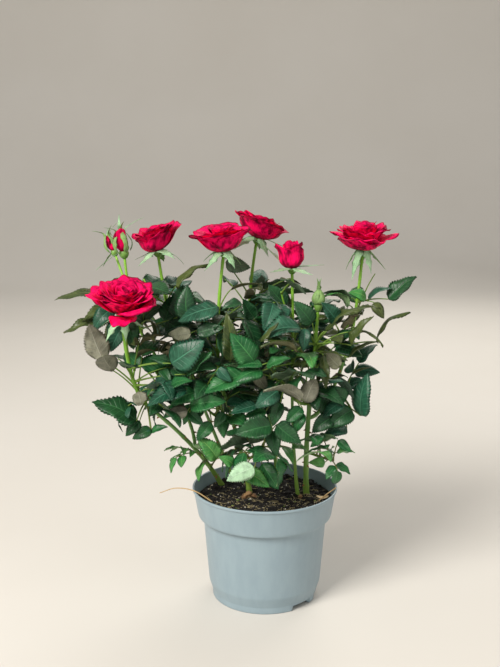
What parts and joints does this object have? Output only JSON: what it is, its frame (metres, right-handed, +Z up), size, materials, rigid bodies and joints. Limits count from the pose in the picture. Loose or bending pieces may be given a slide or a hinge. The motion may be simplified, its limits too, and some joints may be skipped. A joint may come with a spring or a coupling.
{
  "type": "potted rose bush",
  "caption": "Small bushy rose in a round collared nursery pot: slim canes rise from the soil and fork into leafy shoots that end in open roses and buds.",
  "frame": {"origin": "middle of the pot's flat underside", "axes": "+Z up through the pot; -Y is the side the open roses face in the picture; +X is to the right in it"},
  "size_m": [0.292, 0.187, 0.3216],
  "materials": {
    "pot": "moulded grey polypropylene, satin",
    "soil": "moist crumbly peat",
    "cane": "green to brown young rose wood",
    "foliage": "thin leaves on soft twigs, with petals at the tips"
  },
  "bodies": {
    "root": {"pot": "pot", "soil": "soil", "cane_left": "cane", "cane_left_back": "cane", "cane_centre": "cane", "cane_back": "cane", "cane_right": "cane", "cane_right_thin": "cane", "branch_left": "cane", "branch_right": "cane", "rose_shoot_left_front": "foliage", "bud_shoot_left": "foliage", "rose_shoot_left_back": "foliage", "rose_shoot_centre": "foliage", "rose_shoot_back": "foliage", "bud_shoot_centre": "foliage", "bud_shoot_right": "foliage", "rose_shoot_right": "foliage", "leaves_right": "foliage", "leaves_low_right": "foliage", "leaves_low_centre": "foliage", "leaves_low_left": "foliage", "leaves_mid_left": "foliage", "leaves_mid_front": "foliage", "leaves_mid_right": "foliage", "leaves_back_left": "foliage", "leaves_back_centre": "foliage", "leaves_back_right": "foliage"}
  },
  "joints": []
}
